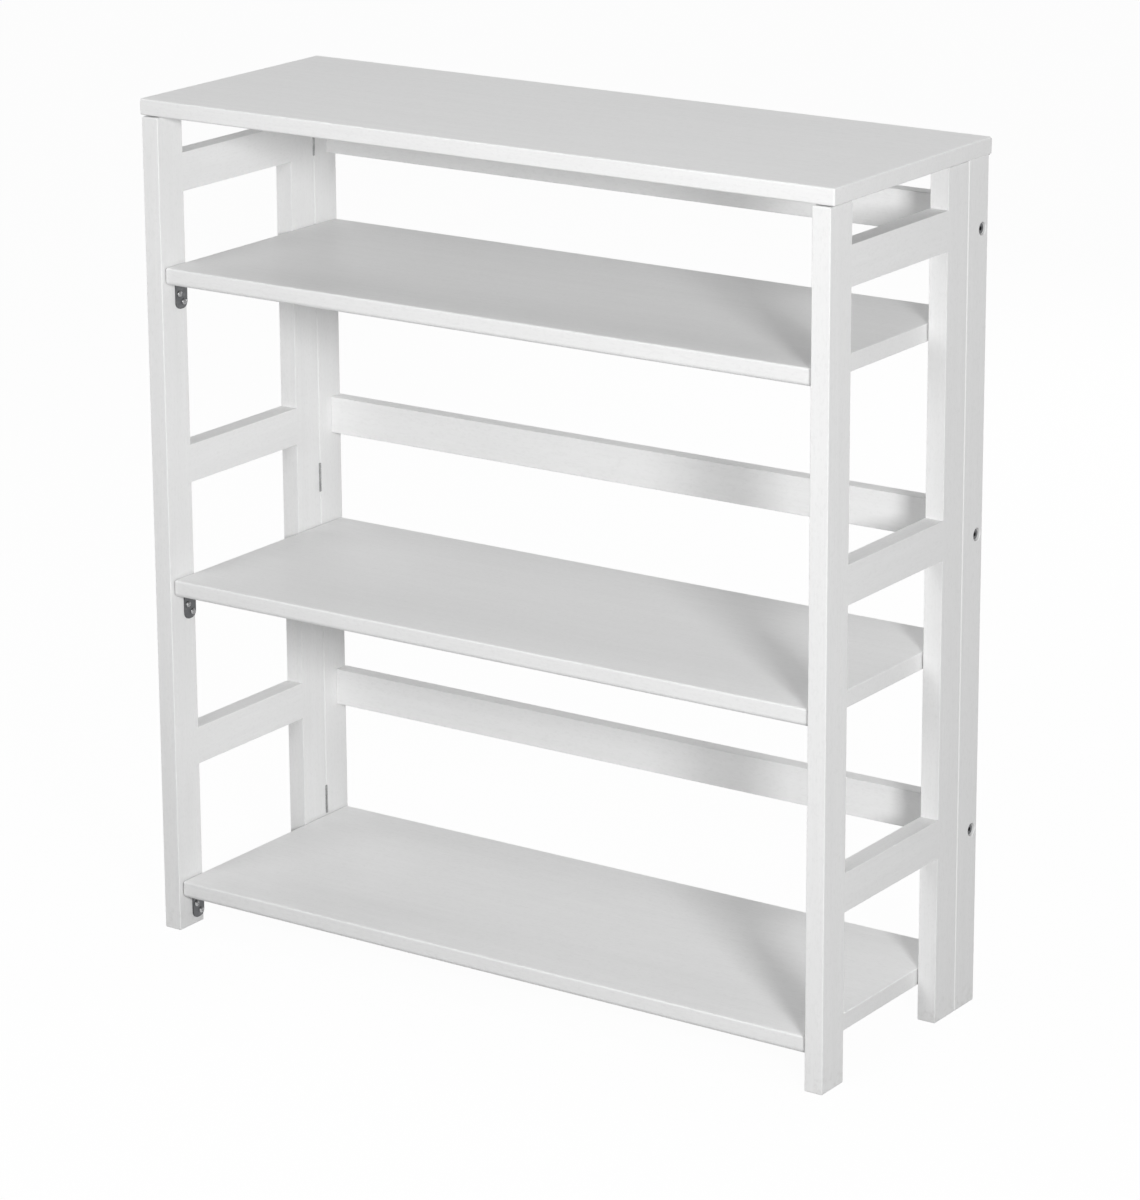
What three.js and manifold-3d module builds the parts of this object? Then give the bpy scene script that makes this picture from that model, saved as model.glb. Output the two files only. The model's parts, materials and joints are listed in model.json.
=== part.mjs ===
// Folding bookcase: a back frame, two side frames hinged to it, three fold-up shelves and a flap top.
// Millimetres, +Z up, front towards -Y. The origin is on the floor, in the middle of the whole part.
import * as THREE from 'three';
import * as BufferGeometryUtils from 'three/addons/utils/BufferGeometryUtils.js';
import Module from 'manifold-3d';

const wasm = await Module();
wasm.setup();

// Overall sizes
const HEIGHT = 863.6; // floor to the face of the top
const WIDTH = 788; // over the outer faces of the side frames
const DEPTH = 286; // front face of the side frames to the back face of the back frame

// Sticks of the frames
const STOCK = 19.5; // thickness of posts, stiles and side rails
const FRONT_POST_DEPTH = 37.5;
const REAR_POST_DEPTH = 37.9;
const STILE_DEPTH = 37.5;
const RAIL_HEIGHT = 39;
const BACK_RAIL_STOCK = 16.6;
const STILE_EASE = 1.6; // round along the edges
const POST_EASE = 1.2;
const OPENING_EASE = 0.5; // along the edges round the openings of the side frames
const BACK_RAIL_EASE = 1.1;
const BACK_RAIL_END_EASE = 0.7;
const END_EASE = 1.6; // round at the ends of posts and stiles
const SEAM_GAP = 0.3; // between a rear post and its stile
const POST_HEAD_GAP = 1; // side frames stop this far under the top

// Rails, by their lower edges. The middle one is halfway.
const BOTTOM_RAIL_RISE = 170.2; // above the floor
const TOP_RAIL_DROP = 80.1; // under the top of the stiles

// Shelves, by their lower faces. The middle one is halfway.
const BOTTOM_SHELF_RISE = 35.2; // above the floor
const UPPER_SHELF_DROP = 168.9; // under the top of the stiles
const SHELF_THICKNESS = 17.5;
const SHELF_SET_BACK = 4.2; // behind the front face of the front posts
const SHELF_BACK_SET_IN = 4.8; // in front of the back face of the back frame
const SHELF_END_GAP = 1.6; // between a shelf's end and the side frame
const SHELF_NOSE_ROUND = 4.5;
const SHELF_BACK_ROUND = 1.5;
const SHELF_END_EASE = 0.6;

// Flap top
const TOP_THICKNESS = 16.5;
const TOP_OVERHANG = 3; // past the outer faces, left and right
const TOP_SET_BACK = 1; // behind the front face of the front posts
const TOP_ROUND = 2;
const TOP_END_EASE = 1.6;

// Running fit of metal in wood and of metal in metal
const FIT = 0.3;

// Shelf pivot pins, in the stiles
const PIVOT_SET_IN = 25.8; // pin centre in front of the back face of the back frame
const PIN_DIAMETER = 5;
const PIN_IN_STILE = 11;
const PIN_IN_SHELF = 16;

// Frame bolts, through the stiles into the back rails
const BOLT_SET_IN = 10.5; // bolt centre in front of the back face
const BOLT_RISE = 10; // bolt centre above the rail's lower edge
const BOLT_DIAMETER = 6;
const BOLT_IN_RAIL = 42;
const BOLT_HEAD_DIAMETER = 10.6;
const BOLT_HEAD_HEIGHT = 4;
const BOLT_SOCKET_WIDTH = 4;
const BOLT_SOCKET_DEPTH = 2.4;
const COUNTERBORE_DIAMETER = 12.6;
const COUNTERBORE_DEPTH = 6.3;

// Butt hinges of the side frames: closed in the seam, knuckles towards the inside
const HINGE_LENGTH = 30.6;
const BOTTOM_HINGE_RISE = 1.5; // lower end above the upper face of the bottom shelf
const MIDDLE_HINGE_RISE = 53; // above the lower face of the middle shelf
const UPPER_HINGE_RISE = 0.4; // above the lower edge of the top rail
const KNUCKLE_DIAMETER = 4.2;
const KNUCKLE_SINK = 0.9; // knuckle centre behind the inner face
const HINGE_PIN_DIAMETER = 1.6;
const LEAF_THICKNESS = 1.1;
const LEAF_WIDTH = 15;
const KNUCKLE_COUNT = 5; // the stile's leaf has the odd ones

// Flap hinges behind the stiles, one leaf on the stile and one on the edge of the top
const FLAP_HINGE_LENGTH = 17;
const FLAP_LEAF_HEIGHT = 13.6;
const FLAP_KNUCKLE_STAND_OFF = 2.2; // knuckle centre behind the back face

// Shelf brackets on the front posts
const BRACKET_WIDTH = 17;
const BRACKET_DROP = 28; // shelf underside to the round end
const BRACKET_THICKNESS = 2;
const BRACKET_LIP = 4; // reach of the lip from the post
const BRACKET_SET_IN = 19.8; // front edge of the plate behind the post's front face
const BRACKET_CORNER = 7;
const SCREW_HEAD_DIAMETER = 6.4;
const SCREW_HEAD_HEIGHT = 2.1;
const SCREW_SHANK_DIAMETER = 3.4;
const SCREW_SHANK_LENGTH = 13;
const SCREW_STAGGER = 3.4; // each screw off the plate's middle
const UPPER_SCREW_DROP = 13.4;
const LOWER_SCREW_DROP = 22.4;

// Cuts run this far past the face that they start from
const OVERRUN = 1;

// Facets
const ROUND_STEPS = 3; // in a quarter round
const BORE_SIDES = 18;
const KNUCKLE_SIDES = 14;
const SMALL_SIDES = 12;
const FINE_SIDES = 8; // on pins and shanks under 4 mm
const DOME_STEPS = 3;

// Lines and faces that several pieces share
const KNUCKLE_RADIUS = KNUCKLE_DIAMETER / 2;
const REAR_STAND_OUT = FLAP_KNUCKLE_STAND_OFF + KNUCKLE_RADIUS;
const FRONT_Y = -(DEPTH + REAR_STAND_OUT) / 2;
const BACK_Y = FRONT_Y + DEPTH;
const OUTER_X = WIDTH / 2;
const INNER_X = OUTER_X - STOCK;
const STILE_Y = BACK_Y - STILE_DEPTH;
const REAR_POST_Y = STILE_Y - SEAM_GAP;
const FRONT_POST_BACK_Y = FRONT_Y + FRONT_POST_DEPTH;
const STILE_TOP_Z = HEIGHT - TOP_THICKNESS;
const RAIL_HEIGHTS = threeHeights('top', BOTTOM_RAIL_RISE, STILE_TOP_Z - TOP_RAIL_DROP);
const SHELF_HEIGHTS = threeHeights('upper', BOTTOM_SHELF_RISE, STILE_TOP_Z - UPPER_SHELF_DROP);
const HINGE_HEIGHTS = {
  bottom: SHELF_HEIGHTS.bottom + SHELF_THICKNESS + BOTTOM_HINGE_RISE,
  middle: SHELF_HEIGHTS.middle + MIDDLE_HINGE_RISE,
  upper: RAIL_HEIGHTS.top + UPPER_HINGE_RISE,
};
const SHELF_DEPTH = DEPTH - SHELF_SET_BACK - SHELF_BACK_SET_IN;
const SHELF_FRONT_Y = FRONT_Y + SHELF_SET_BACK;
const SHELF_LENGTH = 2 * (INNER_X - SHELF_END_GAP);
const PIVOT_Y = BACK_Y - PIVOT_SET_IN;
const BOLT_Y = BACK_Y - BOLT_SET_IN;
const HINGE_Y = STILE_Y - SEAM_GAP / 2;
const HINGE_X = INNER_X + KNUCKLE_SINK;
const FLAP_HINGE_Y = BACK_Y + FLAP_KNUCKLE_STAND_OFF;

const SIDES = { left: -1, right: 1 };

function threeHeights(highest, low, high) {
  return { bottom: low, middle: (low + high) / 2, [highest]: high };
}

const paint = { color: 0xebebe9, roughness: 0.42, metalness: 0 };
const steel = { color: 0x9c9ea1, roughness: 0.38, metalness: 1 };
const gunmetal = { color: 0x5d5f62, roughness: 0.45, metalness: 1 };

const bookcase = new THREE.Group();
bookcase.name = 'folding_bookcase';

function add(name, geometry, finish, x = 0, y = 0, z = 0) {
  const mesh = new THREE.Mesh(geometry, new THREE.MeshStandardMaterial(finish));
  mesh.name = name;
  mesh.position.set(x, y, z);
  bookcase.add(mesh);
}

// Solids for cutting and joining
function solid(geometry) {
  const bare = geometry.clone();
  bare.deleteAttribute('normal');
  bare.deleteAttribute('uv');
  const merged = BufferGeometryUtils.mergeVertices(bare);
  return new wasm.Manifold(new wasm.Mesh({
    numProp: 3,
    vertProperties: merged.attributes.position.array,
    triVerts: Uint32Array.from(merged.index.array),
  }));
}

function surface(body) {
  const mesh = body.getMesh();
  const geometry = new THREE.BufferGeometry();
  geometry.setAttribute('position', new THREE.BufferAttribute(mesh.vertProperties, 3));
  geometry.setIndex(new THREE.BufferAttribute(mesh.triVerts, 1));
  geometry.computeVertexNormals();
  return geometry;
}

function cut(geometry, tools) {
  return surface(tools.reduce((body, tool) => body.subtract(solid(tool)), solid(geometry)));
}

function common(geometries) {
  const bodies = geometries.map(solid);
  return surface(bodies.slice(1).reduce((body, next) => body.intersect(next), bodies[0]));
}

function join(geometries) {
  const bodies = geometries.map(solid);
  return surface(bodies.slice(1).reduce((body, next) => body.add(next), bodies[0]));
}

// Outline of a stick or board: w by h about the middle, with the radii of its four corners
function roundedOutline(w, h, [frontLow, backLow, backHigh, frontHigh]) {
  const shape = new THREE.Shape();
  shape.moveTo(-w / 2 + frontLow, -h / 2);
  shape.lineTo(w / 2 - backLow, -h / 2);
  shape.absarc(w / 2 - backLow, -h / 2 + backLow, backLow, -Math.PI / 2, 0);
  shape.lineTo(w / 2, h / 2 - backHigh);
  shape.absarc(w / 2 - backHigh, h / 2 - backHigh, backHigh, 0, Math.PI / 2);
  shape.lineTo(-w / 2 + frontHigh, h / 2);
  shape.absarc(-w / 2 + frontHigh, h / 2 - frontHigh, frontHigh, Math.PI / 2, Math.PI);
  shape.lineTo(-w / 2, -h / 2 + frontLow);
  shape.absarc(-w / 2 + frontLow, -h / 2 + frontLow, frontLow, Math.PI, 1.5 * Math.PI);
  return shape;
}

// The outline drawn out along Z from 0 to length, with its ends eased or cut square
function drawnOut(outline, length, endEase = 0) {
  const geometry = new THREE.ExtrudeGeometry(outline, {
    depth: length - 2 * endEase,
    bevelEnabled: endEase > 0,
    bevelThickness: endEase,
    bevelSize: endEase,
    bevelOffset: -endEase,
    bevelSegments: 2,
    curveSegments: ROUND_STEPS,
  });
  return geometry.translate(0, 0, endEase);
}

const along = {
  x: new THREE.Matrix4().makeBasis(...['Y', 'Z', 'X'].map(axisVector)),
  y: new THREE.Matrix4().makeBasis(...['Z', 'X', 'Y'].map(axisVector)),
};

function axisVector(axis) {
  return new THREE.Vector3(Number(axis === 'X'), Number(axis === 'Y'), Number(axis === 'Z'));
}

const evenRound = (radius) => [radius, radius, radius, radius];

// A box between two corners, whichever way round they are given
function block(x0, x1, y0, y1, z0, z1) {
  const box = new THREE.BoxGeometry(Math.abs(x1 - x0), Math.abs(y1 - y0), Math.abs(z1 - z0));
  return box.translate((x0 + x1) / 2, (y0 + y1) / 2, (z0 + z1) / 2);
}

// Round bars from one end to the other along X or Z, whichever way round they are given
function rodX(diameter, x0, x1, y, z, sides) {
  const rod = new THREE.CylinderGeometry(diameter / 2, diameter / 2, Math.abs(x1 - x0), sides);
  return rod.rotateZ(Math.PI / 2).translate((x0 + x1) / 2, y, z);
}

function rodZ(diameter, x, y, z0, z1, sides) {
  const rod = new THREE.CylinderGeometry(diameter / 2, diameter / 2, Math.abs(z1 - z0), sides);
  return rod.rotateX(Math.PI / 2).translate(x, y, (z0 + z1) / 2);
}

// The knuckles of one leaf: a list of [start, end] along the hinge
function knuckles(length, odd) {
  const pitch = length / KNUCKLE_COUNT;
  const spans = [];
  for (let i = odd ? 0 : 1; i < KNUCKLE_COUNT; i += 2) {
    const start = i === 0 ? 0 : i * pitch + FIT / 2;
    const end = i === KNUCKLE_COUNT - 1 ? length : (i + 1) * pitch - FIT / 2;
    spans.push([start, end]);
  }
  return spans;
}

// A post or stile on the floor, in the half plane of its side, with the radii of its long edges.
// Its three outlines run past each other, so that each gives its own edges.
function upright(side, depth, radii, height) {
  const ends = evenRound(END_EASE);
  const fromAbove = drawnOut(roundedOutline(STOCK, depth, radii), height + 2 * OVERRUN)
    .translate(side * STOCK / 2, depth / 2, -OVERRUN);
  const fromFront = drawnOut(roundedOutline(height, STOCK, ends), depth + 2 * OVERRUN)
    .applyMatrix4(along.y)
    .translate(side * STOCK / 2, -OVERRUN, height / 2);
  const fromSide = drawnOut(roundedOutline(depth, height, ends), STOCK + 2 * OVERRUN)
    .applyMatrix4(along.x)
    .translate(side > 0 ? -OVERRUN : -STOCK - OVERRUN, depth / 2, height / 2);
  return common([fromAbove, fromFront, fromSide]);
}

// Stiles of the back frame, bored for the bolts and pins and let in for the hinges.
// The stile's own origin is on the floor, at its inner face and its front face.
function stile(side) {
  const outer = side * STOCK;
  const body = upright(side, STILE_DEPTH, evenRound(STILE_EASE), STILE_TOP_Z);
  const tools = [];
  for (const rail of Object.values(RAIL_HEIGHTS)) {
    const z = rail + BOLT_RISE;
    const y = STILE_DEPTH - BOLT_SET_IN;
    const seat = outer - side * COUNTERBORE_DEPTH;
    tools.push(rodX(COUNTERBORE_DIAMETER, outer + side * OVERRUN, seat, y, z, BORE_SIDES));
    tools.push(rodX(BOLT_DIAMETER + 2 * FIT, outer, -side * OVERRUN, y, z, SMALL_SIDES));
  }
  for (const shelf of Object.values(SHELF_HEIGHTS)) {
    tools.push(rodX(PIN_DIAMETER + 2 * FIT, side * (PIN_IN_STILE + FIT), -side * OVERRUN,
      STILE_DEPTH - PIVOT_SET_IN, shelf + SHELF_THICKNESS / 2, SMALL_SIDES));
  }
  for (const z of Object.values(HINGE_HEIGHTS)) tools.push(...hingeRecess(side, -1, z, SEAM_GAP / 2));
  return cut(body, tools);
}

// What a hinge leaf and the barrel take out of the wood. facing is -1 where the wood is behind the
// seam and 1 where it is in front, and away is the distance from the barrel's centre to the wood.
function hingeRecess(side, facing, z, away) {
  const barrelX = side * KNUCKLE_SINK;
  const low = z - FIT;
  const high = z + HINGE_LENGTH + FIT;
  return [
    rodZ(KNUCKLE_DIAMETER + 2 * FIT, barrelX, facing * away, low, high, KNUCKLE_SIDES),
    block(barrelX, barrelX + side * (LEAF_WIDTH + FIT), facing * OVERRUN,
      -facing * (LEAF_THICKNESS + FIT), low, high),
  ];
}

for (const [name, side] of Object.entries(SIDES)) {
  add(`stile_${name}`, stile(side), paint, side * INNER_X, STILE_Y, 0);
}

// Rails of the back frame, between the stiles, flush with their back faces
function backRail() {
  const length = 2 * INNER_X;
  const outline = roundedOutline(BACK_RAIL_STOCK, RAIL_HEIGHT, evenRound(BACK_RAIL_EASE));
  const body = drawnOut(outline, length, BACK_RAIL_END_EASE)
    .applyMatrix4(along.x)
    .translate(-INNER_X, -BACK_RAIL_STOCK / 2, RAIL_HEIGHT / 2);
  const bores = Object.values(SIDES).map((side) => rodX(BOLT_DIAMETER + 2 * FIT,
    side * (INNER_X + OVERRUN), side * (INNER_X - BOLT_IN_RAIL - FIT),
    -BOLT_SET_IN, BOLT_RISE, SMALL_SIDES));
  return cut(body, bores);
}

for (const [name, z] of Object.entries(RAIL_HEIGHTS)) {
  add(`back_rail_${name}`, backRail(), paint, 0, BACK_Y, z);
}

// Socket-head frame bolts in their counterbores
function frameBolt(side) {
  const seat = STOCK - COUNTERBORE_DEPTH + FIT;
  const head = side * (seat + BOLT_HEAD_HEIGHT);
  const body = join([
    rodX(BOLT_HEAD_DIAMETER, side * seat, head, 0, 0, BORE_SIDES),
    rodX(BOLT_DIAMETER, side * (seat + BOLT_HEAD_HEIGHT / 2), -side * BOLT_IN_RAIL, 0, 0, SMALL_SIDES),
  ]);
  const socket = rodX(BOLT_SOCKET_WIDTH / Math.cos(Math.PI / 6), head + side * OVERRUN,
    head - side * BOLT_SOCKET_DEPTH, 0, 0, 6);
  return cut(body, [socket]);
}

for (const [name, side] of Object.entries(SIDES)) {
  for (const [level, z] of Object.entries(RAIL_HEIGHTS)) {
    add(`frame_bolt_${name}_${level}`, frameBolt(side), gunmetal, side * INNER_X, BOLT_Y, z + BOLT_RISE);
  }
}

// Posts of the side frames. A post's own origin is on the floor, at its inner face and its front face.
const POST_LENGTH = STILE_TOP_Z - POST_HEAD_GAP;

function frontPost(side) {
  const tools = [];
  for (const shelf of Object.values(SHELF_HEIGHTS)) {
    for (const [across, drop] of screwPlaces()) {
      tools.push(rodX(SCREW_SHANK_DIAMETER + 2 * FIT, -side * OVERRUN, side * (SCREW_SHANK_LENGTH + FIT),
        BRACKET_SET_IN + across, shelf - FIT - drop, FINE_SIDES));
    }
  }
  const radii = [POST_EASE, POST_EASE, OPENING_EASE, OPENING_EASE];
  return cut(upright(side, FRONT_POST_DEPTH, radii, POST_LENGTH), tools);
}

function rearPost(side) {
  const toBack = (tool) => tool.translate(0, REAR_POST_DEPTH, 0);
  const tools = Object.values(HINGE_HEIGHTS).flatMap((z) => hingeRecess(side, 1, z, SEAM_GAP / 2));
  const radii = [OPENING_EASE, OPENING_EASE, POST_EASE, POST_EASE];
  return cut(upright(side, REAR_POST_DEPTH, radii, POST_LENGTH), tools.map(toBack));
}

for (const [name, side] of Object.entries(SIDES)) {
  add(`front_post_${name}`, frontPost(side), paint, side * INNER_X, FRONT_Y, 0);
  add(`rear_post_${name}`, rearPost(side), paint, side * INNER_X, REAR_POST_Y - REAR_POST_DEPTH, 0);
}

// Rails of the side frames, butted between the posts and flush with both faces
const SIDE_RAIL_LENGTH = REAR_POST_Y - REAR_POST_DEPTH - FRONT_POST_BACK_Y;

function sideRail(side) {
  return drawnOut(roundedOutline(RAIL_HEIGHT, STOCK, evenRound(OPENING_EASE)), SIDE_RAIL_LENGTH)
    .applyMatrix4(along.y)
    .translate(side * STOCK / 2, 0, RAIL_HEIGHT / 2);
}

for (const [name, side] of Object.entries(SIDES)) {
  for (const [level, z] of Object.entries(RAIL_HEIGHTS)) {
    add(`side_rail_${name}_${level}`, sideRail(side), paint, side * INNER_X, FRONT_POST_BACK_Y, z);
  }
}

// Shelves, drilled at both ends for the pivot pins
function shelf() {
  const radii = [SHELF_NOSE_ROUND, SHELF_BACK_ROUND, SHELF_BACK_ROUND, SHELF_NOSE_ROUND];
  const board = drawnOut(roundedOutline(SHELF_DEPTH, SHELF_THICKNESS, radii), SHELF_LENGTH, SHELF_END_EASE)
    .applyMatrix4(along.x)
    .translate(-SHELF_LENGTH / 2, SHELF_DEPTH / 2, SHELF_THICKNESS / 2);
  const bores = Object.values(SIDES).map((side) => rodX(PIN_DIAMETER + 2 * FIT,
    side * (SHELF_LENGTH / 2 + OVERRUN), side * (INNER_X - PIN_IN_SHELF - FIT),
    PIVOT_Y - SHELF_FRONT_Y, SHELF_THICKNESS / 2, SMALL_SIDES));
  return cut(board, bores);
}

for (const [level, z] of Object.entries(SHELF_HEIGHTS)) {
  add(`shelf_${level}`, shelf(), paint, 0, SHELF_FRONT_Y, z);
}

// Pivot pins, pressed into the stiles, on which the shelves turn
for (const [name, side] of Object.entries(SIDES)) {
  for (const [level, z] of Object.entries(SHELF_HEIGHTS)) {
    add(`pivot_pin_${name}_${level}`,
      rodX(PIN_DIAMETER, side * PIN_IN_STILE, -side * PIN_IN_SHELF, 0, 0, SMALL_SIDES), steel,
      side * INNER_X, PIVOT_Y, z + SHELF_THICKNESS / 2);
  }
}

// Brackets under the shelves, each a bent plate with two round-head screws.
// A bracket's own origin is on the post's inner face, at the plate's front edge and its top.
function screwPlaces() {
  const middle = BRACKET_WIDTH / 2;
  return [
    [middle - SCREW_STAGGER, UPPER_SCREW_DROP],
    [middle + SCREW_STAGGER, LOWER_SCREW_DROP],
  ];
}

function plateOutline() {
  const w = BRACKET_WIDTH;
  const round = BRACKET_CORNER;
  const shape = new THREE.Shape();
  shape.moveTo(0, 0);
  shape.lineTo(0, -BRACKET_DROP + round);
  shape.absarc(round, -BRACKET_DROP + round, round, Math.PI, 1.5 * Math.PI);
  shape.lineTo(w - round, -BRACKET_DROP);
  shape.absarc(w - round, -BRACKET_DROP + round, round, -Math.PI / 2, 0);
  shape.lineTo(w, 0);
  return shape;
}

// A round head, flat towards the plate, turned about X
function domedHead() {
  const profile = [new THREE.Vector2(0, 0), new THREE.Vector2(SCREW_HEAD_DIAMETER / 2, 0)];
  for (let i = 1; i < DOME_STEPS; i += 1) {
    const angle = (i / DOME_STEPS) * (Math.PI / 2);
    profile.push(new THREE.Vector2((SCREW_HEAD_DIAMETER / 2) * Math.cos(angle),
      SCREW_HEAD_HEIGHT * Math.sin(angle)));
  }
  profile.push(new THREE.Vector2(0, SCREW_HEAD_HEIGHT));
  return new THREE.LatheGeometry(profile, SMALL_SIDES);
}

function bracket(side) {
  const plate = drawnOut(plateOutline(), BRACKET_THICKNESS)
    .applyMatrix4(along.x)
    .translate(side > 0 ? -BRACKET_THICKNESS : 0, 0, 0);
  const lip = block(0, -side * BRACKET_LIP, 0, BRACKET_WIDTH, -BRACKET_THICKNESS, 0);
  const screws = screwPlaces().flatMap(([across, drop]) => [
    domedHead().rotateZ(side * Math.PI / 2).translate(-side * BRACKET_THICKNESS, across, -drop),
    rodX(SCREW_SHANK_DIAMETER, -side * BRACKET_THICKNESS, side * SCREW_SHANK_LENGTH,
      across, -drop, FINE_SIDES),
  ]);
  return join([plate, lip, ...screws]);
}

for (const [name, side] of Object.entries(SIDES)) {
  for (const [level, z] of Object.entries(SHELF_HEIGHTS)) {
    add(`shelf_bracket_${name}_${level}`, bracket(side), gunmetal,
      side * INNER_X, FRONT_Y + BRACKET_SET_IN, z - FIT);
  }
}

// Leaves of the side-frame hinges. A leaf's own origin is on the pin's axis, at the lower end.
function sideLeaf(side, facing) {
  const fixed = facing < 0;
  const near = -facing * SEAM_GAP / 2;
  const far = near - facing * LEAF_THICKNESS;
  const clear = side * (KNUCKLE_RADIUS + FIT);
  const parts = [block(clear, side * LEAF_WIDTH, near, far, 0, HINGE_LENGTH)];
  for (const [low, high] of knuckles(HINGE_LENGTH, fixed)) {
    parts.push(rodZ(KNUCKLE_DIAMETER, 0, 0, low, high, KNUCKLE_SIDES));
    parts.push(block(side * (KNUCKLE_RADIUS - LEAF_THICKNESS), 2 * clear, near, far, low, high));
  }
  if (fixed) {
    return join([...parts, rodZ(HINGE_PIN_DIAMETER, 0, 0, 0, HINGE_LENGTH, FINE_SIDES)]);
  }
  const bore = rodZ(HINGE_PIN_DIAMETER + 2 * FIT, 0, 0, -OVERRUN, HINGE_LENGTH + OVERRUN, FINE_SIDES);
  return cut(join(parts), [bore]);
}

for (const [name, side] of Object.entries(SIDES)) {
  for (const [level, z] of Object.entries(HINGE_HEIGHTS)) {
    add(`hinge_stile_leaf_${name}_${level}`, sideLeaf(side, -1), steel, side * HINGE_X, HINGE_Y, z);
    add(`hinge_post_leaf_${name}_${level}`, sideLeaf(side, 1), steel, side * HINGE_X, HINGE_Y, z);
  }
}

// Flap top, lying on the stiles
const topDepth = DEPTH - TOP_SET_BACK;
const topLength = WIDTH + 2 * TOP_OVERHANG;
const topBoard = drawnOut(roundedOutline(topDepth, TOP_THICKNESS, evenRound(TOP_ROUND)), topLength,
  TOP_END_EASE)
  .applyMatrix4(along.x)
  .translate(-topLength / 2, topDepth / 2, TOP_THICKNESS / 2);
add('top_board', topBoard, paint, 0, FRONT_Y + TOP_SET_BACK, STILE_TOP_Z);

// Leaves of the flap hinges. A leaf's own origin is on the pin's axis, in the middle of the hinge.
// upward is 1 for the leaf on the top's edge and -1 for the leaf on the stile.
function flapLeaf(upward) {
  const fixed = upward < 0;
  const start = -FLAP_HINGE_LENGTH / 2;
  const near = -FLAP_KNUCKLE_STAND_OFF;
  const far = near + LEAF_THICKNESS;
  const clear = KNUCKLE_RADIUS + FIT;
  const parts = [block(start, -start, near, far, upward * clear, upward * FLAP_LEAF_HEIGHT)];
  for (const [low, high] of knuckles(FLAP_HINGE_LENGTH, fixed)) {
    parts.push(rodX(KNUCKLE_DIAMETER, start + low, start + high, 0, 0, KNUCKLE_SIDES));
    parts.push(block(start + low, start + high, near, far, upward * FIT, 2 * upward * clear));
  }
  if (fixed) {
    return join([...parts, rodX(HINGE_PIN_DIAMETER, start, -start, 0, 0, FINE_SIDES)]);
  }
  const bore = rodX(HINGE_PIN_DIAMETER + 2 * FIT, start - OVERRUN, -start + OVERRUN, 0, 0, FINE_SIDES);
  return cut(join(parts), [bore]);
}

for (const [name, side] of Object.entries(SIDES)) {
  const x = side * (INNER_X + STOCK / 2);
  add(`flap_stile_leaf_${name}`, flapLeaf(-1), steel, x, FLAP_HINGE_Y, STILE_TOP_Z);
  add(`flap_top_leaf_${name}`, flapLeaf(1), steel, x, FLAP_HINGE_Y, STILE_TOP_Z);
}

export default bookcase;
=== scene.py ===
"""The folding bookcase's finish: eased and painted sticks, shelves and top, steel hinges, brackets, bolts."""
import json
import math

import bmesh
import bpy
from mathutils import Matrix, Vector


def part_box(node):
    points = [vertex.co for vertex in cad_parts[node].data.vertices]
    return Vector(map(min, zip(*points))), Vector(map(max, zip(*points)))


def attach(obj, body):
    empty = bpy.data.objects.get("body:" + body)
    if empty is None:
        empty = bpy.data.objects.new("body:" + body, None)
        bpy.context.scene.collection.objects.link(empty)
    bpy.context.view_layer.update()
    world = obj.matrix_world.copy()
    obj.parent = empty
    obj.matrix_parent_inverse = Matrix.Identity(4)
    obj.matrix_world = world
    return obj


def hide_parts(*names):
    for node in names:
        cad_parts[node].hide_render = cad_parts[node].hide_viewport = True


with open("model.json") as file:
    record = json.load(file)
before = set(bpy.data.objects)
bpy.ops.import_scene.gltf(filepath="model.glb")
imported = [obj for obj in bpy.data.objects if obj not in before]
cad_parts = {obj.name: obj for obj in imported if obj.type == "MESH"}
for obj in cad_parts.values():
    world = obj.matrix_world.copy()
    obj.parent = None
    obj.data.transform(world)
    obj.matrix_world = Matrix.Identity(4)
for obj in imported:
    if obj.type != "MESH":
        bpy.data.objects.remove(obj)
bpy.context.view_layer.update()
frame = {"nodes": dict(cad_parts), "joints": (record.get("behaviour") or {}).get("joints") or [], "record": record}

MM = 0.001
BODY_OF = {node: body for body, nodes in frame["record"]["behaviour"]["bodies"].items() for node in nodes}
SIDES = {"left": -1, "right": 1}
RAIL_LEVELS = ("bottom", "middle", "top")
SHELF_LEVELS = ("bottom", "middle", "upper")
X, Y, Z = 0, 1, 2

# The camera that the photograph was taken with, measured in a picture 1140 by 1200
PICTURE_HEIGHT = 1200
PICTURE_MIDDLE = (570, 600)
SHARP_POINT = (586.5, 438.0)  # where the lens axis meets the picture
FOCAL_PIXELS = 4515.1
SENSOR = 36.0
CAMERA_FROM_MIDDLE = (2.4150, -3.5009, 1.6808)
CAMERA_AZIMUTH = 34.235
CAMERA_ELEVATION = 14.95
CAMERA_ROLL = -0.247
CAMERA_REACH = 100.0

NOISE_ROUGHNESS = 0.55


class Value:
    """A socket that takes part in sums, each of which adds its Math node."""

    def __init__(self, net, socket):
        self.net = net
        self.socket = socket

    def math(self, operation, *others):
        return self.net.node("ShaderNodeMath", {"operation": operation}, [self, *others])

    def __add__(self, other):
        return self.math("ADD", other)

    def __mul__(self, other):
        return self.math("MULTIPLY", other)

    def __rsub__(self, other):
        return self.net.node("ShaderNodeMath", {"operation": "SUBTRACT"}, [other, self])


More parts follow.
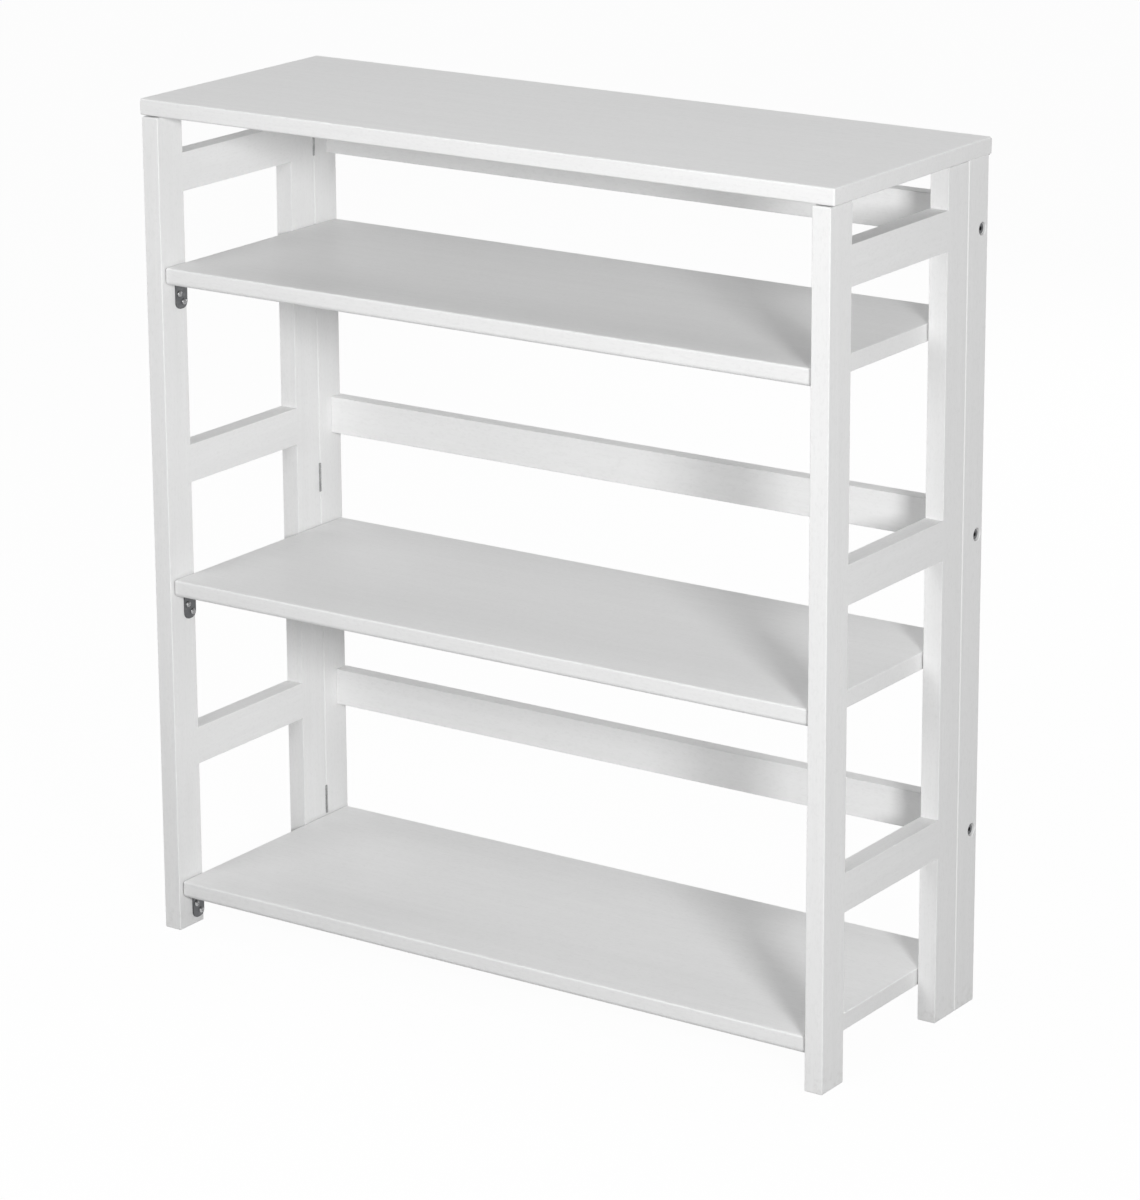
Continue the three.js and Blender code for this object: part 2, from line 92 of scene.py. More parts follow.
class Net:
    """The node net of a material or a world."""

    def __init__(self, owner):
        owner.use_nodes = True
        self.owner = owner
        self.tree = owner.node_tree

    def node(self, kind, settings=None, inputs=(), output=0):
        """A new node's output. Inputs are given in their order, or by name or number."""
        made = self.tree.nodes.new(kind)
        for name, value in (settings or {}).items():
            setattr(made, name, value)
        pairs = inputs.items() if isinstance(inputs, dict) else enumerate(inputs)
        for key, value in pairs:
            self.feed(made.inputs[key], value)
        return Value(self, made.outputs[output])

    def feed(self, socket, value):
        if isinstance(value, Value):
            self.tree.links.new(value.socket, socket)
        else:
            socket.default_value = value

    def place(self, stretch=(1, 1, 1)):
        """Where a point is on the bookcase, drawn out along an axis."""
        spot = self.node("ShaderNodeTexCoord", output="Object")
        return self.node("ShaderNodeMapping", {}, {"Vector": spot, "Scale": stretch})

    def noise(self, scale, detail=2.0, stretch=(1, 1, 1)):
        """Soft noise between 0 and 1, with scale waves in a metre."""
        return self.node("ShaderNodeTexNoise", {}, {
            "Vector": self.place(stretch), "Scale": scale, "Detail": detail, "Roughness": NOISE_ROUGHNESS})

    def ramp(self, value, low, high):
        """A value that is 0 at low and 1 at high."""
        return self.node("ShaderNodeMapRange", {}, {"Value": value, "From Min": low, "From Max": high})

    def mix(self, factor, first, second):
        """The first colour where factor is 0, the second where it is 1."""
        return self.node("ShaderNodeMix", {"data_type": "RGBA"}, {0: factor, 6: first, 7: second}, output=2)

    def bump(self, height, depth, strength):
        return self.node("ShaderNodeBump", {}, {"Height": height, "Distance": depth, "Strength": strength})

    def light_path(self):
        """The Light Path node, and a value that is 1 where a ray sees, mirrors or looks through."""
        path = self.tree.nodes.new("ShaderNodeLightPath")
        seen, glossy, through = (Value(self, path.outputs[f"Is {kind} Ray"])
                                 for kind in ("Camera", "Glossy", "Transmission"))
        return path, seen.math("MAXIMUM", glossy).math("MAXIMUM", through)

    def finish(self, **sockets):
        """Feeds the shader's sockets, named with _ for a space, and hands back the material."""
        surface = self.tree.nodes["Principled BSDF"]
        for name, value in sockets.items():
            self.feed(surface.inputs[name.replace("_", " ")], value)
        return self.owner


def new_finish(name):
    return Net(bpy.data.materials.new(name))


PAINT_DEEP = (0.793, 0.794, 0.793, 1)
PAINT_PALE = (0.841, 0.842, 0.841, 1)
PAINT_SPECK = (0.73, 0.73, 0.728, 1)
PAINT_WORN = (0.56, 0.55, 0.535, 1)
PAINT_SMOOTHEST = 0.33
WORN_HEIGHT = 0.03  # above the floor, where the feet are rubbed
GRAIN_DRAWN = 0.035  # how far the grain is drawn out: its waves in a metre along the stick, per one across
SPECK_DRAWN = 0.45


def painted_wood(axis):
    """Satin white paint, sprayed over wood whose grain, bands and specks show faintly along the stick."""
    net = new_finish("white_paint_" + "xyz"[axis])

    def drawn(share):
        return tuple(share if a == axis else 1.0 for a in (X, Y, Z))

    grain = net.noise(620.0, detail=4.0, stretch=drawn(GRAIN_DRAWN))
    pores = net.noise(1500.0, stretch=drawn(GRAIN_DRAWN))
    bands = net.noise(110.0, stretch=drawn(GRAIN_DRAWN))
    specks = net.noise(430.0, detail=3.0, stretch=drawn(SPECK_DRAWN))
    spray = net.noise(900.0)
    clouds = net.noise(9.0, detail=3.0)
    height = net.node("ShaderNodeSeparateXYZ", {}, [net.place()], output="Z")
    worn = (1 - net.ramp(height, 0.0, WORN_HEIGHT)) * net.ramp(net.noise(130.0, detail=3.0), 0.5, 0.72)
    tone = net.ramp(clouds, 0.3, 0.7) * 0.3 + net.ramp(grain, 0.35, 0.65) * 0.3
    tone = tone + net.ramp(bands, 0.3, 0.7) * 0.4
    paint = net.mix(tone, PAINT_DEEP, PAINT_PALE)
    paint = net.mix(net.ramp(specks, 0.5, 0.72) * 0.4, paint, PAINT_SPECK)
    return net.finish(
        Base_Color=net.mix(worn * 0.5, paint, PAINT_WORN),
        Roughness=net.ramp(clouds, 0.2, 0.8) * 0.06 + spray * 0.12 + PAINT_SMOOTHEST,
        Normal=net.bump(grain * 0.5 + pores * 0.2 + spray * 0.3, depth=0.05 * MM, strength=0.85),
    )


def dark_steel(name, smoothest, shade, rubbed_shade):
    """Black-zinc plate or screws, rubbed lighter here and there. The lighter shades given for the screw heads are
    a painted highlight.
    """
    net = new_finish(name)
    rolled = net.noise(700.0, detail=3.0, stretch=(1.0, 1.0, 0.15))
    rubbed = net.ramp(net.noise(160.0, detail=3.0), 0.52, 0.7)
    return net.finish(
        Base_Color=net.mix(rubbed, shade, rubbed_shade),
        Metallic=0.9,
        Roughness=rolled * 0.14 + smoothest,
        Normal=net.bump(rolled, depth=0.03 * MM, strength=0.5),
    )


STEEL_DULL = (0.40, 0.40, 0.405, 1)
STEEL_CLEAN = (0.55, 0.55, 0.55, 1)


def bright_steel():
    """Plain steel of the hinges and pins, drawn upwards and slightly dulled."""
    net = new_finish("bright_steel")
    drawn = net.noise(1400.0, detail=3.0, stretch=(1.0, 1.0, 0.05))
    clean = net.ramp(net.noise(240.0, detail=3.0), 0.4, 0.7)
    return net.finish(
        Base_Color=net.mix(clean, STEEL_DULL, STEEL_CLEAN),
        Metallic=1.0,
        Roughness=drawn * 0.2 + 0.26,
        Normal=net.bump(drawn, depth=0.02 * MM, strength=0.6),
    )


PAINT = {axis: painted_wood(axis) for axis in (X, Y, Z)}
DARK = dark_steel("dark_steel", smoothest=0.30,
                  shade=(0.135, 0.138, 0.144, 1), rubbed_shade=(0.19, 0.19, 0.194, 1))
# The screw heads are the plate's steel painted lighter. This painted highlight stands in for the key lamp's glint,
# which no reflection shows.
HEAD_STEEL_WITH_PAINTED_GLINT = dark_steel("dark_steel_heads_painted_glint", smoothest=0.18,
                       shade=(0.42, 0.422, 0.428, 1), rubbed_shade=(0.58, 0.58, 0.584, 1))
BRIGHT = bright_steel()


def box_of(node):
    low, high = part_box(node)
    return Vector(low), Vector(high)


def outer_and_inner(low, high, sign):
    """The x of a box's two faces, the one on the bookcase's outside first."""
    return (high.x, low.x) if sign > 0 else (low.x, high.x)


def joint_place(name):
    return Vector(next(joint for joint in frame["joints"] if joint["name"] == name)["pos_m"])


SAME_POINT = 0.0005 * MM  # points nearer to each other than this are one
SHARP_FROM = 35  # degrees between faces
SHARP_FROM_BOLT = 25


def new_piece(name, bm, finish, node, replaces=True, sharp_from=SHARP_FROM):
    """Puts a mesh into the scene on its node's body, in the node's place or else beside it."""
    bmesh.ops.remove_doubles(bm, verts=bm.verts, dist=SAME_POINT)
    bmesh.ops.recalc_face_normals(bm, faces=bm.faces)
    mesh = bpy.data.meshes.new(name)
    bm.to_mesh(mesh)
    bm.free()
    mesh.materials.append(finish)
    for face in mesh.polygons:
        face.use_smooth = True
    mesh.set_sharp_from_angle(angle=math.radians(sharp_from))
    piece = bpy.data.objects.new(name, mesh)
    bpy.context.scene.collection.objects.link(piece)
    weighted = piece.modifiers.new("even_shading", "WEIGHTED_NORMAL")
    weighted.keep_sharp = True
    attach(piece, BODY_OF[node])
    if replaces:
        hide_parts(node)
    return piece


# Sticks and boards

ROUND_STEPS = 6  # in each rounded corner
LEAST_ROUND = 0.02 * MM


def rounded_ring(width, height, rounds, inset):
    """Points round a rectangle about the middle, shrunk by inset.

    The rounds are its corners' radii, in the order low-low, high-low, high-high, low-high.
    """
    corners = ((-1, -1, 180), (1, -1, 270), (1, 1, 0), (-1, 1, 90))
    ring = []
    for (sx, sy, start), radius in zip(corners, rounds):
        shrunk = max(radius - inset, LEAST_ROUND)
        cx = sx * (width / 2 - inset - shrunk)
        cy = sy * (height / 2 - inset - shrunk)
        for step in range(ROUND_STEPS + 1):
            angle = math.radians(start + 90 * step / ROUND_STEPS)
            ring.append((cx + shrunk * math.cos(angle), cy + shrunk * math.sin(angle)))
    return ring


def new_point(bm, origin, axis, along, u, v):
    """A point off an origin: along the axis, and u and v on the two axes that follow it."""
    point = Vector(origin)
    point[axis] += along
    point[(axis + 1) % 3] += u
    point[(axis + 2) % 3] += v
    return bm.verts.new(point)


def skin(bm, rings):
    """The faces between each ring of points and the next."""
    for first, second in zip(rings, rings[1:]):
        for i in range(len(first)):
            j = (i + 1) % len(first)
            bm.faces.new((first[i], first[j], second[j], second[i]))


def stick(bm, low, high, axis, rounds, end_round):
    """A stick in a box, long along axis, with the rounds of its four edges and of its ends."""
    middle = (low + high) / 2
    middle[axis] = 0.0
    width, height = (high[a] - low[a] for a in ((axis + 1) % 3, (axis + 2) % 3))
    stations = []
    for step in range(ROUND_STEPS + 1):
        angle = math.pi / 2 * step / ROUND_STEPS
        stations.append((end_round * (1 - math.sin(angle)), end_round * (1 - math.cos(angle))))
    stations = stations[::-1] if end_round else [(0.0, 0.0)]
    ends = [(low[axis] + along, inset) for along, inset in stations]
    ends += [(high[axis] - along, inset) for along, inset in stations[::-1]]
    rings = [[new_point(bm, middle, axis, along, u, v)
              for u, v in rounded_ring(width, height, rounds, inset)]
             for along, inset in ends]
    skin(bm, rings)
    bm.faces.new(rings[0][::-1])
    bm.faces.new(rings[-1])


def turned(bm, profile, axis, centre, sides, closed=True):
    """A shape turned about an axis through centre, and its rings of points.

    The profile is a list of (along, radius). Only a closed shape gets a face in its last ring.
    """
    rings = []
    for along, radius in profile:
        ring = []
        for i in range(1 if radius == 0 else sides):
            angle = 2 * math.pi * i / sides
            ring.append(new_point(bm, centre, axis, along, radius * math.cos(angle), radius * math.sin(angle)))
        rings.append(ring)
    for first, second in zip(rings, rings[1:]):
        for i in range(sides):
            j = (i + 1) % sides
            corners = [first[i % len(first)], first[j % len(first)],
                       second[j % len(second)], second[i % len(second)]]
            corners = [c for k, c in enumerate(corners) if c not in corners[:k]]
            if len(corners) > 2:
                bm.faces.new(corners)
    for ring in (rings[0], rings[-1]) if closed else (rings[0],):
        if len(ring) > 1:
            bm.faces.new(ring)
    return rings


def cut_away(piece, shape):
    """Takes a closed shape out of the piece for good."""
    bmesh.ops.recalc_face_normals(shape, faces=shape.faces)
    mesh = bpy.data.meshes.new("cutter")
    shape.to_mesh(mesh)
    shape.free()
    cutter = bpy.data.objects.new("cutter", mesh)
    bpy.context.scene.collection.objects.link(cutter)
    cut = piece.modifiers.new("cut", "BOOLEAN")
    cut.object = cutter
    cut.solver = "EXACT"
    shading = piece.modifiers["even_shading"]
    shading.show_viewport = False
    view = bpy.context.evaluated_depsgraph_get()
    view.update()
    whole = piece.data
    piece.data = bpy.data.meshes.new_from_object(piece.evaluated_get(view))
    clean = bmesh.new()
    clean.from_mesh(piece.data)
    bmesh.ops.remove_doubles(clean, verts=clean.verts, dist=SAME_POINT)
    bmesh.ops.dissolve_degenerate(clean, edges=clean.edges, dist=SAME_POINT)
    clean.to_mesh(piece.data)
    clean.free()
    piece.modifiers.remove(cut)
    shading.show_viewport = True
    bpy.data.objects.remove(cutter)
    for spent in (whole, mesh):
        bpy.data.meshes.remove(spent)


# Rounds of the edges, as the photograph shows them
OPENING_EDGE = 0.45 * MM  # posts and rails where they bound the ladder's openings
POST_EDGE = 1.2 * MM
POST_FRONT_EDGE = 0.8 * MM
STILE_EDGE = 1.6 * MM
POST_END = 1.6 * MM
RAIL_EDGE = 1.1 * MM
RAIL_END = 0.7 * MM
SHELF_NOSE = 4.5 * MM  # its lower round
SHELF_BROW = 2.2 * MM  # its upper round
SHELF_BACK = 1.5 * MM
SHELF_END = 1.1 * MM
TOP_EDGE = 2.0 * MM
TOP_END = 1.6 * MM


def wood(node, axis, rounds, end_round, longer=0.0):
    """A painted stick or board in its node's box, with its grain along axis."""
    low, high = box_of(node)
    low[axis] -= longer
    high[axis] += longer
    bm = bmesh.new()
    stick(bm, low, high, axis, rounds, end_round)
    return new_piece(f"{node}_painted", bm, PAINT[axis], node)


# The counterbores of the bolts in the stiles
HOLE_RADIUS = 6.3 * MM
HOLE_DEPTH = 6.3 * MM
HOLE_CHAMFER = 0.6 * MM
HOLE_OVERRUN = 2.0 * MM  # of the cutter past the stile's face
HOLE_SIDES = 48


def stiles():
    for side, sign in SIDES.items():
        node = f"stile_{side}"
        stile = wood(node, Z, [STILE_EDGE] * 4, POST_END)
        low, high = box_of(node)
        outer, _ = outer_and_inner(low, high, sign)
        holes = bmesh.new()
        for level in RAIL_LEVELS:
            bolt_low, bolt_high = box_of(f"frame_bolt_{side}_{level}")
            centre = (bolt_low + bolt_high) / 2
            centre.x = outer
            profile = [(sign * HOLE_OVERRUN, HOLE_RADIUS + HOLE_CHAMFER + HOLE_OVERRUN),
                       (-sign * HOLE_CHAMFER, HOLE_RADIUS),
                       (-sign * HOLE_DEPTH, HOLE_RADIUS)]
            turned(holes, profile, X, centre, HOLE_SIDES)
        cut_away(stile, holes)


def side_frames():
    for side in SIDES:
        wood(f"front_post_{side}", Z, [POST_FRONT_EDGE] * 2 + [OPENING_EDGE] * 2, POST_END)
        wood(f"rear_post_{side}", Z, [OPENING_EDGE] * 2 + [POST_EDGE] * 2, POST_END)
        for level in RAIL_LEVELS:
            # The rail fills the posts' rounded edges at its ends, so that the painted joint is smooth
            wood(f"side_rail_{side}_{level}", Y, [OPENING_EDGE] * 4, 0.0, longer=OPENING_EDGE)


def back_rails():
    for level in RAIL_LEVELS:
        wood(f"back_rail_{level}", X, [RAIL_EDGE] * 4, RAIL_END)


def shelves():
    for level in SHELF_LEVELS:
        wood(f"shelf_{level}", X, [SHELF_NOSE, SHELF_BACK, SHELF_BACK, SHELF_BROW], SHELF_END)


def top():
    wood("top_board", X, [TOP_EDGE] * 4, TOP_END)


# Steel

EDGE_BREAK = 0.25 * MM
SCREW_HEAD_RADIUS = 3.2 * MM
SCREW_HEAD_HEIGHT = 2.1 * MM
SLOT_WIDTH = 0.6 * MM
SLOT_LENGTH = 3.0 * MM
SLOT_DEPTH = 0.6 * MM
DOME_STEPS = 8
DOME_SIDES = 40
DOME_FOOT = 0.94  # share of a head's radius at its foot
DOME_RIM = 0.12  # share of its height up to its widest place


def domed_head(bm, centre, axis, direction, radius, height):
    """A round screw head that stands on a face, with the edge broken where it meets it."""
    profile = [(0.0, radius * DOME_FOOT), (direction * height * DOME_RIM, radius)]
    for step in range(1, DOME_STEPS + 1):
        angle = math.pi / 2 * step / DOME_STEPS
        along = height * (DOME_RIM + (1 - DOME_RIM) * math.sin(angle))
        profile.append((direction * along, radius * math.cos(angle) if step < DOME_STEPS else 0.0))
    turned(bm, profile, axis, centre, DOME_SIDES)


def cross_slot(piece, centre, axis, direction, height):
    """Cuts the cross recess for the screwdriver into a domed head."""
    near, far = SLOT_WIDTH / 2, SLOT_LENGTH / 2
    arm = [(near, near), (near, far), (-near, far)]
    bm = bmesh.new()
    rings = []
    for along in (height - SLOT_DEPTH, height + SLOT_DEPTH):
        ring = []
        for quarter in range(4):
            for u, v in arm:
                for _ in range(quarter):
                    u, v = -v, u
                ring.append(new_point(bm, centre, axis, direction * along, u, v))
        rings.append(ring)
    skin(bm, rings)
    bm.faces.new(rings[0])
    bm.faces.new(rings[1])
    cut_away(piece, bm)


def plate(bm, outline, axis, start, end):
    """A flat plate: the outline, as points across the axis, from start to end with broken edges."""
    centre = [sum(p[i] for p in outline) / len(outline) for i in (0, 1)]
    step = math.copysign(EDGE_BREAK, end - start)
    rings = []
    for along, shrink in ((start, 0.0), (end - step, 0.0), (end, EDGE_BREAK)):
        ring = []
        for u, v in outline:
            du, dv = u - centre[0], v - centre[1]
            reach = math.hypot(du, dv)
            ring.append(new_point(bm, (0, 0, 0), axis, along, u - du / reach * shrink, v - dv / reach * shrink))
        rings.append(ring)
    skin(bm, rings)
    bm.faces.new(rings[0])
    bm.faces.new(rings[-1])


BRACKET_THICKNESS = 2.0 * MM
BRACKET_LIP = 4.0 * MM  # how far the lip under the shelf stands out from the post
BRACKET_CORNER = 7.0 * MM
BRACKET_STEPS = 8  # in each round corner
BRACKET_SCREWS = ((-3.8 * MM, 12.4 * MM), (3.0 * MM, 21.4 * MM))  # off the middle, below the top


def bracket_outline(low, high):
    """The plate from its top down to its round end, as points (y, z)."""
    points = [(low.y, high.z)]
    for start, cy in ((180, low.y + BRACKET_CORNER), (270, high.y - BRACKET_CORNER)):
        for step in range(BRACKET_STEPS + 1):
            angle = math.radians(start + 90 * step / BRACKET_STEPS)
            points.append((cy + BRACKET_CORNER * math.cos(angle),
                           low.z + BRACKET_CORNER + BRACKET_CORNER * math.sin(angle)))
    points.append((high.y, high.z))
    return points


def brackets():
    """Each bracket's plate and lip in one piece, and its two screws added to it."""
    for side, sign in SIDES.items():
        for level in SHELF_LEVELS:
            node = f"shelf_bracket_{side}_{level}"
            low, high = box_of(node)
            post_low, post_high = box_of(f"front_post_{side}")
            _, face = outer_and_inner(post_low, post_high, sign)
            bm = bmesh.new()
            plate(bm, bracket_outline(low, high), X, face, face - sign * BRACKET_THICKNESS)
            lip_low = Vector((min(face, face - sign * BRACKET_LIP), low.y, high.z - BRACKET_THICKNESS))
            lip_high = Vector((max(face, face - sign * BRACKET_LIP), high.y, high.z))
            stick(bm, lip_low, lip_high, Y, [EDGE_BREAK] * 4, EDGE_BREAK)
            new_piece(f"{node}_plate", bm, DARK, node)
            for number, (across, drop) in enumerate(BRACKET_SCREWS, 1):
                centre = Vector((face - sign * BRACKET_THICKNESS,
                                 (low.y + high.y) / 2 + across,
                                 high.z - drop))
                screw = bmesh.new()
                domed_head(screw, centre, X, -sign, SCREW_HEAD_RADIUS, SCREW_HEAD_HEIGHT)
                # The head's lighter steel is a painted highlight
                piece = new_piece(f"{node}_screw_{number}", screw, HEAD_STEEL_WITH_PAINTED_GLINT, node,
                                  replaces=False)
                cross_slot(piece, centre, X, -sign, SCREW_HEAD_HEIGHT)


BOLT_HEAD_RADIUS = 5.3 * MM
BOLT_HEAD_HEIGHT = 4.0 * MM
BOLT_SHANK_RADIUS = 3.0 * MM
BOLT_SOCKET_RADIUS = 2.3 * MM
BOLT_SOCKET_DEPTH = 2.4 * MM
BOLT_CHAMFER = 0.5 * MM
BOLT_SIDES = 36


def bolts():
    """Each bolt in one piece, from its socket to the end of its shank."""
    for side, sign in SIDES.items():
        for level in RAIL_LEVELS:
            node = f"frame_bolt_{side}_{level}"
            low, high = box_of(node)
            head, tip = outer_and_inner(low, high, sign)
            centre = Vector((head, (low.y + high.y) / 2, (low.z + high.z) / 2))
            bm = bmesh.new()
            profile = [(tip - head, 0.0), (tip - head, BOLT_SHANK_RADIUS),
                       (-sign * BOLT_HEAD_HEIGHT, BOLT_SHANK_RADIUS),
                       (-sign * BOLT_HEAD_HEIGHT, BOLT_HEAD_RADIUS),
                       (-sign * BOLT_CHAMFER, BOLT_HEAD_RADIUS),
                       (0.0, BOLT_HEAD_RADIUS - BOLT_CHAMFER),
                       (0.0, BOLT_SOCKET_RADIUS + BOLT_CHAMFER)]
            rings = turned(bm, profile, X, centre, BOLT_SIDES, closed=False)
            socket_wall(bm, rings[-1], centre, sign)
            new_piece(f"{node}_steel", bm, DARK, node, sharp_from=SHARP_FROM_BOLT)


def socket_wall(bm, rim, centre, sign):
    """Leads the round rim of a bolt head into a six-sided socket and closes its floor."""
    sixth = math.pi / 3
    rings = [rim]
    for depth in (BOLT_CHAMFER / 2, BOLT_SOCKET_DEPTH):
        ring = []
        for vert in rim:
            angle = math.atan2(vert.co.z - centre.z, vert.co.y - centre.y) % (2 * math.pi)
            reach = BOLT_SOCKET_RADIUS * math.cos(sixth / 2) / math.cos(angle % sixth - sixth / 2)
            ring.append(bm.verts.new((centre.x - sign * depth, centre.y + reach * math.cos(angle),
                                      centre.z + reach * math.sin(angle))))
        rings.append(ring)
    skin(bm, rings)
    bm.faces.new(rings[-1])


# Hinges: knuckles in a row, with leaves let into the wood

KNUCKLE_RADIUS = 2.1 * MM
KNUCKLE_CHAMFER = 0.22 * MM
KNUCKLE_GAP = 0.3 * MM  # between two knuckles, and beside them in the leaf
KNUCKLE_COUNT = 5
LEAF_THICKNESS = 1.1 * MM
PIN_RADIUS = 0.8 * MM
KNUCKLE_SIDES = 32
PIN_SIDES = 20
SEAM_GAP = 0.3 * MM  # between a hinge's two leaves
TAB_LAP = 0.2 * MM  # of a knuckle's tab into its leaf


def knuckle_spans(length, odd):
    """The start and end of each knuckle of one leaf: the first and every other one, or those between."""
    pitch = length / KNUCKLE_COUNT
    for i in range(0 if odd else 1, KNUCKLE_COUNT, 2):
        start = 0.0 if i == 0 else i * pitch + KNUCKLE_GAP / 2
        end = length if i == KNUCKLE_COUNT - 1 else (i + 1) * pitch - KNUCKLE_GAP / 2
        yield start, end


def barrel(bm, axis, pin, start, length, odd):
    """The knuckles of one leaf on the pin's line, their ends broken. The pin is part of the odd ones."""
    for first, last in knuckle_spans(length, odd):
        near, far = start + first, start + last
        profile = [(near, KNUCKLE_RADIUS - KNUCKLE_CHAMFER), (near + KNUCKLE_CHAMFER, KNUCKLE_RADIUS),
                   (far - KNUCKLE_CHAMFER, KNUCKLE_RADIUS), (far, KNUCKLE_RADIUS - KNUCKLE_CHAMFER)]
        turned(bm, profile, axis, pin, KNUCKLE_SIDES)
    if odd:
        turned(bm, [(start, PIN_RADIUS), (start + length, PIN_RADIUS)], axis, pin, PIN_SIDES)


def add_block(bm, *spans):
    """A block between two values on each axis, given in either order."""
    low, high = (Vector(ends) for ends in zip(*(sorted(span) for span in spans)))
    size = high - low
    matrix = Matrix.Translation((low + high) / 2) @ Matrix.Diagonal((*size, 1))
    bmesh.ops.create_cube(bm, size=1.0, matrix=matrix)


def side_hinges():
    """The butt hinges between stile and rear post, one piece for each leaf."""
    for side, sign in SIDES.items():
        pin = joint_place(f"side_fold_{side}")
        for level in SHELF_LEVELS:
            for leaf, odd in (("stile", True), ("post", False)):
                node = f"hinge_{leaf}_leaf_{side}_{level}"
                low, high = box_of(node)
                bm = bmesh.new()
                line = Vector((pin.x, pin.y, 0.0))
                barrel(bm, Z, line, low.z, high.z - low.z, odd)
                # The leaf lies behind the pin's line on the stile and before it on the post
                away = 1 if odd else -1
                leaf_y = (pin.y + away * SEAM_GAP / 2, pin.y + away * (SEAM_GAP / 2 + LEAF_THICKNESS))
                edge = pin.x + sign * (KNUCKLE_RADIUS + KNUCKLE_GAP)
                tip, _ = outer_and_inner(low, high, sign)
                add_block(bm, (edge, tip), leaf_y, (low.z, high.z))
                tab = (pin.x + sign * LEAF_THICKNESS, edge + sign * TAB_LAP)
                for first, last in knuckle_spans(high.z - low.z, odd):
                    add_block(bm, tab, leaf_y, (low.z + first, low.z + last))
                new_piece(f"{node}_steel", bm, BRIGHT, node)


FLAP_SCREW_RADIUS = 1.9 * MM
FLAP_SCREW_HEIGHT = 0.7 * MM
FLAP_SCREW_PLACES = (-4.6 * MM, 4.6 * MM)


def flap_hinges():
    """The small hinges behind the top, one piece for each leaf, and their screws added to them."""
    pin = joint_place("top_flap")
    for side in SIDES:
        for leaf, upward in (("stile", -1), ("top", 1)):
            node = f"flap_{leaf}_leaf_{side}"
            low, high = box_of(node)
            bm = bmesh.new()
            line = Vector((0.0, pin.y, pin.z))
            barrel(bm, X, line, low.x, high.x - low.x, upward < 0)
            edge = pin.z + upward * (KNUCKLE_RADIUS + KNUCKLE_GAP)
            tip = high.z if upward > 0 else low.z
            leaf_y = (low.y, low.y + LEAF_THICKNESS)
            add_block(bm, (low.x, high.x), leaf_y, (edge, tip))
            tab = (pin.z + upward * KNUCKLE_GAP, edge + upward * TAB_LAP)
            for first, last in knuckle_spans(high.x - low.x, upward < 0):
                add_block(bm, (low.x + first, low.x + last), leaf_y, tab)
            new_piece(f"{node}_steel", bm, BRIGHT, node)
            middle_z = (edge + tip) / 2
            for number, across in enumerate(FLAP_SCREW_PLACES, 1):
                centre = Vector(((low.x + high.x) / 2 + across, leaf_y[1], middle_z))
                screw = bmesh.new()
                domed_head(screw, centre, Y, 1, FLAP_SCREW_RADIUS, FLAP_SCREW_HEIGHT)
                new_piece(f"{node}_screw_{number}", screw, BRIGHT, node,
                          replaces=False)


def pins():
    """The pivot pins keep their solids' shape, which is hidden in the wood."""
    for side in SIDES:
        for level in SHELF_LEVELS:
            node = frame["nodes"][f"pivot_pin_{side}_{level}"]
            node.data.materials.clear()
            node.data.materials.append(BRIGHT)


# Stage

FULL_WHITE = (1, 1, 1, 1)
FLOOR_SIZE = 14.0
FLOOR_WHITE = (0.9, 0.9, 0.9, 1)
FLOOR_BOUNCE = (0.35, 0.35, 0.35, 1)  # its shade as far as it lights the bookcase from below
FLOOR_COVER = 0.97  # share of plain white over the floor's own shade, so its shadow stays faint
FLOOR_ROUGHNESS = 0.9


def floor():
    bm = bmesh.new()
    bmesh.ops.create_grid(bm, x_segments=1, y_segments=1, size=FLOOR_SIZE / 2)
    mesh = bpy.data.meshes.new("floor")
    bm.to_mesh(mesh)
    bm.free()
    net = new_finish("floor_white")
    nodes = net.tree.nodes
    path, plain = net.light_path()
    diffuse = Value(net, path.outputs["Is Diffuse Ray"])
    material = net.finish(Base_Color=net.mix(diffuse, FLOOR_WHITE, FLOOR_BOUNCE), Roughness=FLOOR_ROUGHNESS)
    shaded = Value(net, nodes["Principled BSDF"].outputs[0])
    white = net.node("ShaderNodeEmission", {}, {"Color": FULL_WHITE, "Strength": 1.0})
    cover = net.node("ShaderNodeMixShader", {}, [plain * FLOOR_COVER, shaded, white])
    net.feed(nodes["Material Output"].inputs["Surface"], cover)
    mesh.materials.append(material)
    plane = bpy.data.objects.new("floor", mesh)
    bpy.context.scene.collection.objects.link(plane)


SKY_LEVEL = 0.18  # of the light it gives; to the eye and in reflections it is full white


def sky():
    world = bpy.data.worlds.new("studio")
    bpy.context.scene.world = world
    net = Net(world)
    _, plain = net.light_path()
    background = net.tree.nodes["Background"].inputs
    net.feed(background["Color"], FULL_WHITE)
    net.feed(background["Strength"],
             net.node("ShaderNodeMapRange", {}, {"Value": plain, "To Min": SKY_LEVEL, "To Max": 1.0}))


BOOKCASE_MIDDLE = (0.0, 0.0, 0.43)


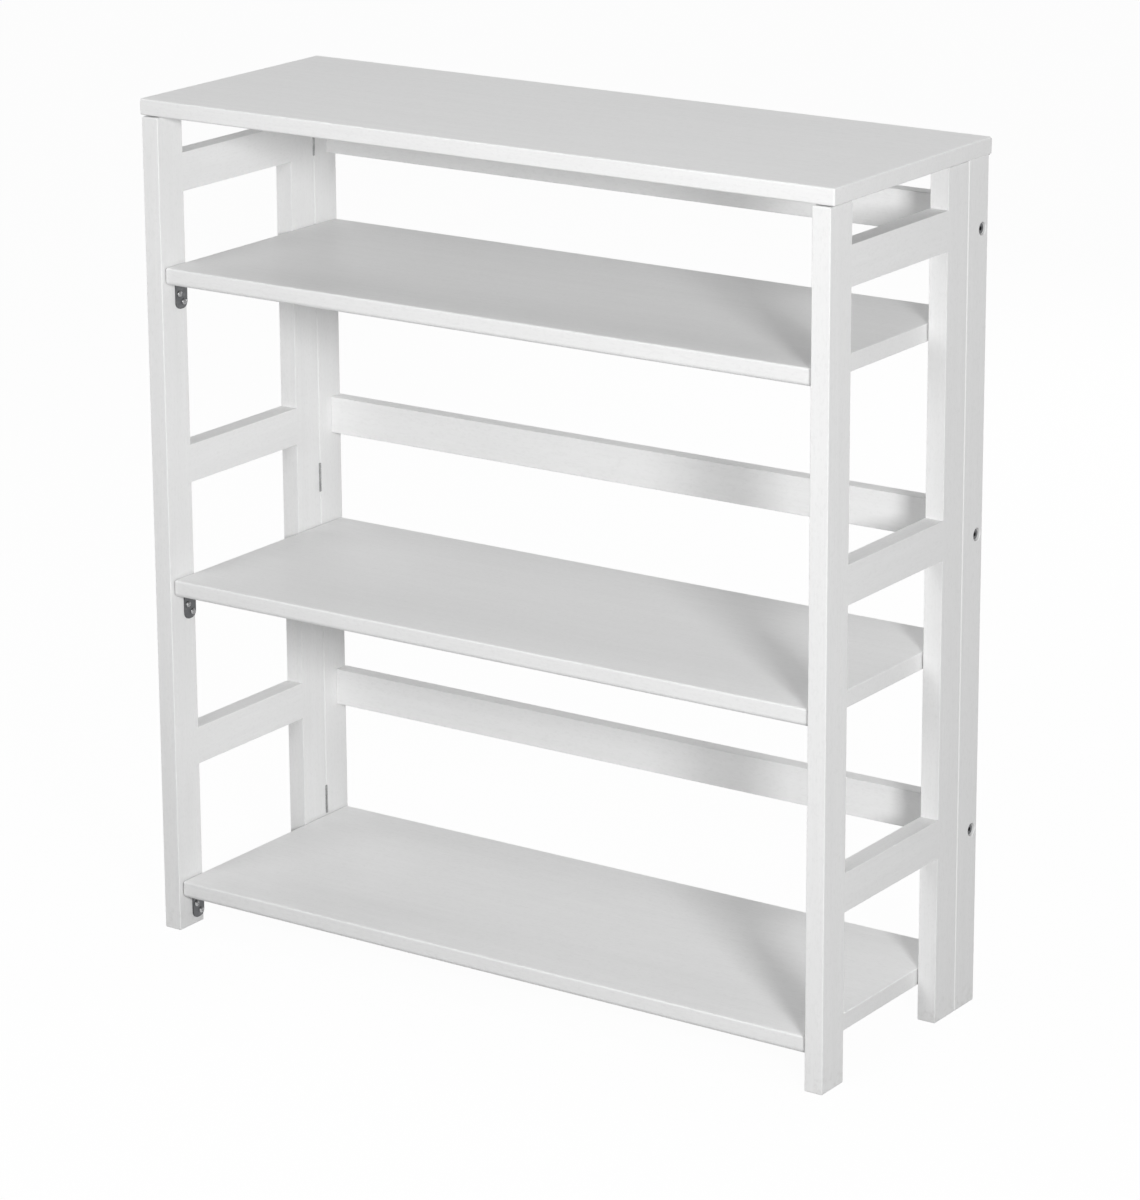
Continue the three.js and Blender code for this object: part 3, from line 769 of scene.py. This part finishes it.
def lamp(name, size, power, at, aim=BOOKCASE_MIDDLE, mirrored=True):
    """A square area lamp. One that isn't mirrored leaves no glare on the paint in views from behind."""
    light = bpy.data.lights.new(name, "AREA")
    light.shape = "SQUARE"
    light.size = size
    light.energy = power
    lit = bpy.data.objects.new(name, light)
    lit.location = at
    way = Vector(aim) - Vector(at)
    lit.rotation_euler = way.to_track_quat("-Z", "Y").to_euler()
    lit.visible_glossy = mirrored
    bpy.context.scene.collection.objects.link(lit)


def lamps():
    lamp("key_softbox", 0.7, 115.2, (3.05, -2.60, 1.60), mirrored=False)
    lamp("front_fill", 0.6, 6.5, (0.1, -1.67, 1.00), aim=(0.0, 0.0, 0.75))
    lamp("high_fill", 0.7, 4.0, (-0.60, -1.50, 1.90), aim=(0.0, 0.0, 0.6))
    lamp("top_softbox", 1.2, 14.8, (0.0, -0.10, 3.43))
    lamp("left_fill", 1.2, 9.0, (-2.60, 0.00, 1.05))
    lamp("back_fill", 1.2, 26.0, (0.0, 2.88, 1.15))


def camera():
    data = bpy.data.cameras.new("camera")
    data.sensor_fit = "AUTO"
    data.sensor_width = SENSOR
    data.lens = FOCAL_PIXELS / PICTURE_HEIGHT * SENSOR
    data.shift_x = (PICTURE_MIDDLE[0] - SHARP_POINT[0]) / PICTURE_HEIGHT
    data.shift_y = (SHARP_POINT[1] - PICTURE_MIDDLE[1]) / PICTURE_HEIGHT
    data.clip_end = CAMERA_REACH
    holder = bpy.data.objects.new("camera", data)
    holder.location = CAMERA_FROM_MIDDLE
    turn = Matrix.Rotation(math.radians(CAMERA_AZIMUTH), 4, "Z")
    tilt = Matrix.Rotation(math.radians(90 - CAMERA_ELEVATION), 4, "X")
    roll = Matrix.Rotation(math.radians(CAMERA_ROLL), 4, "Z")
    holder.rotation_euler = (turn @ tilt @ roll).to_euler()
    bpy.context.scene.collection.objects.link(holder)
    bpy.context.scene.camera = holder


camera()
sky()
lamps()
floor()
stiles()
side_frames()
back_rails()
shelves()
top()
brackets()
bolts()
side_hinges()
flap_hinges()
pins()

bpy.context.scene.view_settings.view_transform = "Standard"
